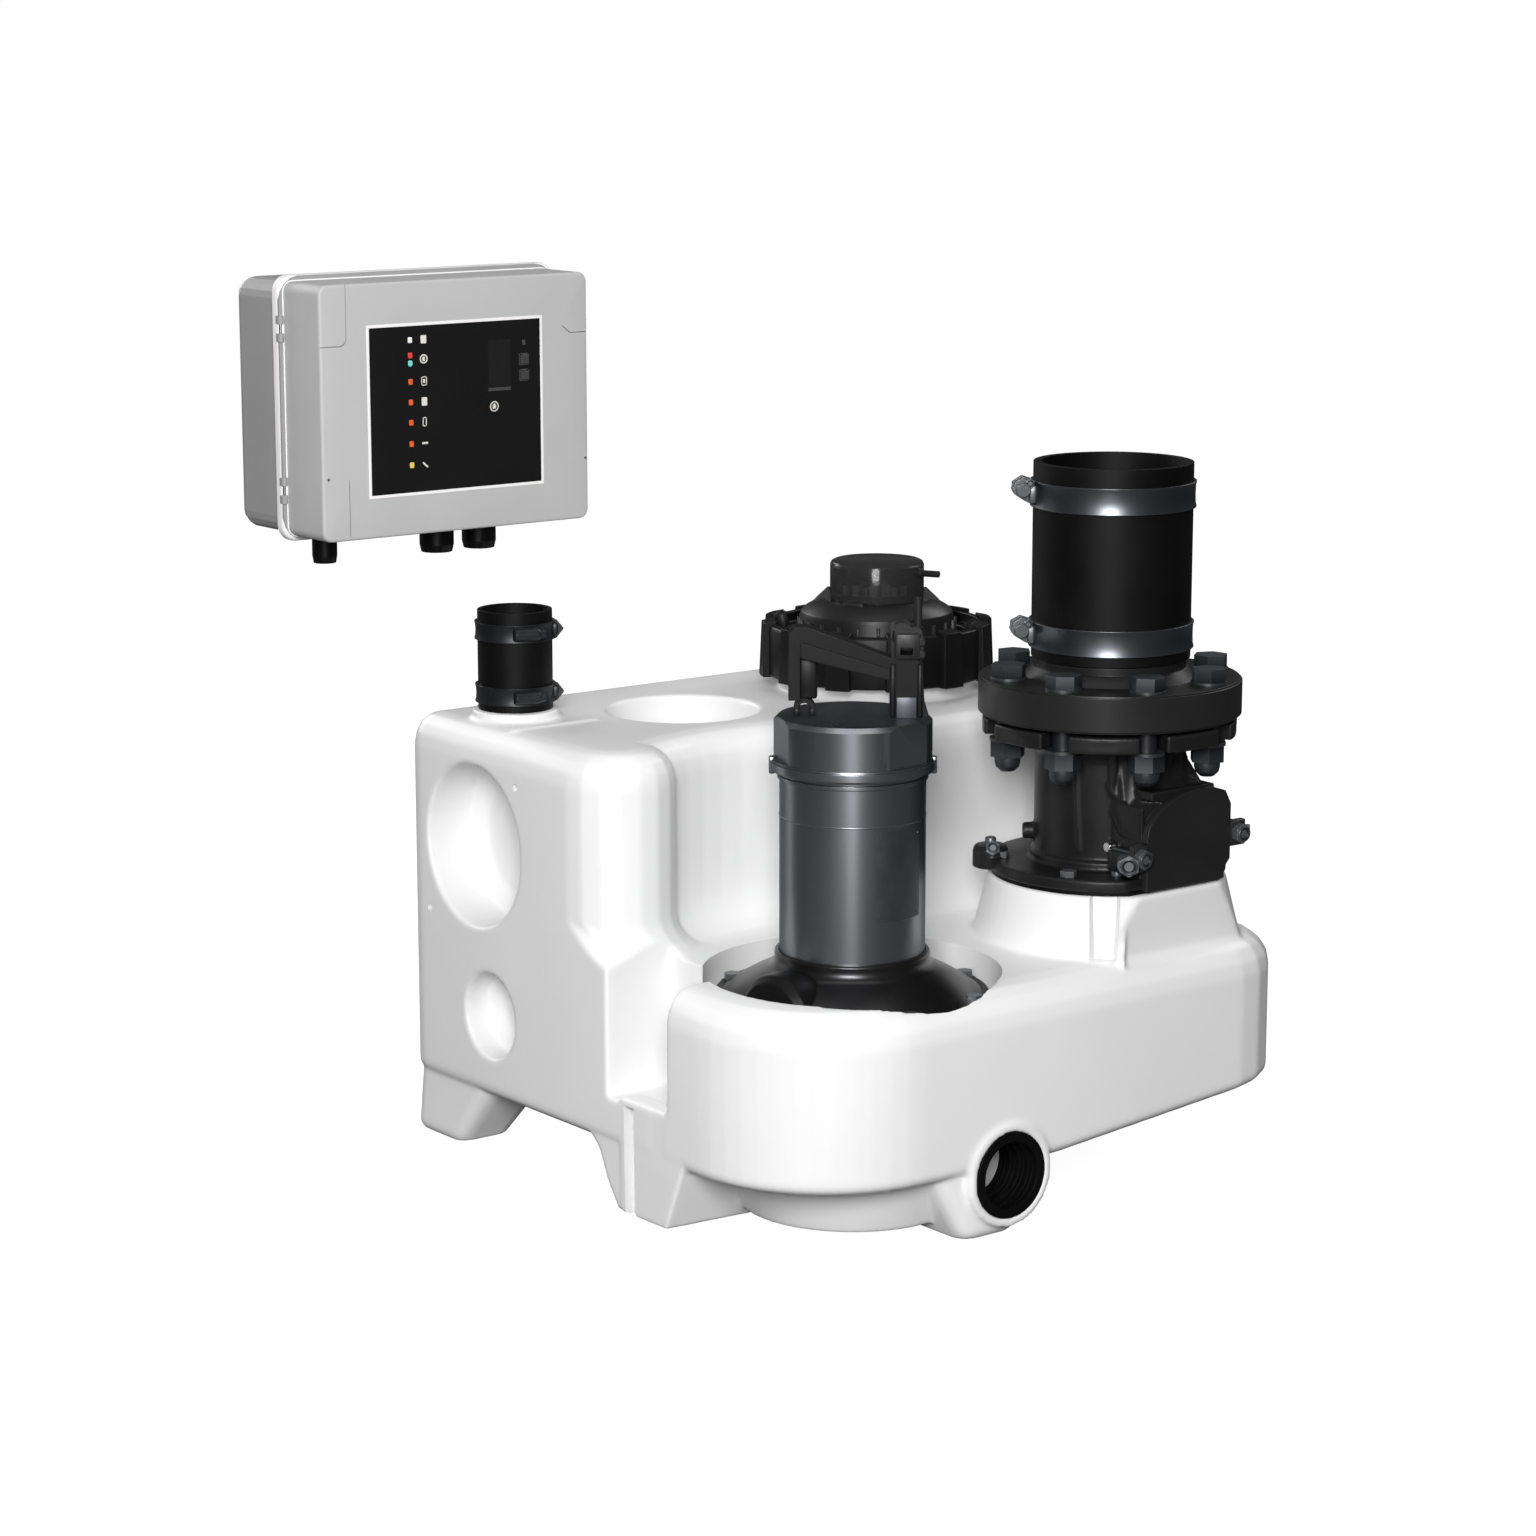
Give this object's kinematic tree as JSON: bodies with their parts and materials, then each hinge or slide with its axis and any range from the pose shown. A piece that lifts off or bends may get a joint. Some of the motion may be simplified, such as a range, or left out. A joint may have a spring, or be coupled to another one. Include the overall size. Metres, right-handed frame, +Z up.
{
  "type": "wastewater lifting station",
  "caption": "Low plastic collecting tank on feet with a pump, flap valve, discharge hose, screw cap with level tube, vent hose and a wall-hung controller.",
  "frame": {"origin": "middle of the whole set's bounding box in X and Y, on the floor the tank stands on", "axes": "+Z up; -Y is the front, where the pump and the valve stand; +X is the viewer's right when facing the front"},
  "size_m": [0.6022, 0.6065, 0.691],
  "materials": {
    "white_plastic": "satin",
    "black_rubber": "satin",
    "black_plastic": "satin",
    "dark_casting": "satin",
    "pipe_plastic": "matte",
    "dark_steel": "satin",
    "bolt_steel": "satin",
    "bright_steel": "brushed",
    "winding": "satin",
    "level_tube_plastic": "matte",
    "grey_plastic": "satin",
    "board_green": "gloss",
    "board_plastic": "matte",
    "gland_plastic": "satin",
    "panel_black": "satin",
    "display_glass": "gloss",
    "light_lens": "gloss",
    "button_grey": "matte"
  },
  "bodies": {
    "station": {"tank": "white_plastic", "hand_pump_seal": "black_rubber", "flange_seal": "black_rubber", "pump_flange": "black_plastic", "flange_screws": "bolt_steel", "volute": "dark_casting", "delivery_bend": "pipe_plastic", "stator": "winding", "bearing_bracket": "dark_casting", "lower_bearing": "bright_steel", "upper_bearing": "bright_steel", "shaft_seal": "black_rubber", "motor_sleeve": "dark_steel", "motor_joint_ring": "dark_steel", "motor_head": "dark_steel", "motor_strap": "black_plastic", "cable_entry": "black_plastic", "base_gasket": "black_rubber", "valve_body": "black_plastic", "base_screws": "bolt_steel", "flap_pin": "bright_steel", "cover_gasket": "black_rubber", "valve_cover": "black_plastic", "cover_screws": "bolt_steel", "flange_gasket": "black_rubber", "adapter_flange": "black_plastic", "flange_bolts": "bolt_steel", "flange_nuts": "bolt_steel", "discharge_hose": "black_rubber", "discharge_clamps": "bolt_steel", "cap_seal": "black_rubber", "vent_hose": "black_rubber", "vent_clamps": "bolt_steel", "controller_back_box": "grey_plastic", "box_gasket": "black_rubber", "circuit_board": "board_green", "board_parts": "board_plastic", "hinge_pins": "bright_steel", "controller_glands": "gland_plastic", "gland_nuts": "gland_plastic"},
    "pump_rotor": {"impeller": "pipe_plastic", "pump_shaft": "bright_steel", "rotor_core": "bright_steel"},
    "valve_flap_body": {"valve_flap": "dark_casting", "flap_rubber": "black_rubber"},
    "level_unit": {"cap_dome": "black_plastic", "level_cap": "black_plastic", "hose_nozzle": "black_plastic", "level_tube": "level_tube_plastic"},
    "ring_nut": {"cap_ring_nut": "black_plastic"},
    "controller_door": {"controller_cover": "grey_plastic", "screw_flaps": "grey_plastic", "front_panel": "panel_black", "display_window": "display_glass", "indicator_lights": "light_lens"},
    "upper_push_button": {"upper_button": "button_grey"},
    "lower_push_button": {"lower_button": "button_grey"}
  },
  "joints": [
    {"name": "rotor_spin", "type": "hinge", "parent": "station", "child": "pump_rotor", "pos_m": [-0.0569, -0.17675, 0.2], "axis": [0, 0, 1], "continuous": true},
    {"name": "flap_swing", "type": "hinge", "parent": "station", "child": "valve_flap_body", "pos_m": [0.1771, -0.24775, 0.267], "axis": [1, 0, 0], "range_deg": [0, 55]},
    {"name": "cap_lift", "type": "slide", "parent": "station", "child": "ring_nut", "axis": [0, 0, 1], "range_m": [0, 0.28]},
    {"name": "level_unit_turn", "type": "hinge", "parent": "ring_nut", "child": "level_unit", "pos_m": [0.1611, 0.06325, 0.38], "axis": [0, 0, 1], "range_deg": [0, 60]},
    {"name": "cover_hinge", "type": "hinge", "parent": "station", "child": "controller_door", "pos_m": [-0.2986, 0.22785, 0.5883], "axis": [0, 0, -1], "range_deg": [0, 110]},
    {"name": "upper_button_press", "type": "slide", "parent": "controller_door", "child": "upper_push_button", "axis": [0, 1, 0], "range_m": [0, 0.0015], "stiffness_N_per_m": 500, "springref_m": -0.0005},
    {"name": "lower_button_press", "type": "slide", "parent": "controller_door", "child": "lower_push_button", "axis": [0, 1, 0], "range_m": [0, 0.0015], "stiffness_N_per_m": 500, "springref_m": -0.0005}
  ]
}
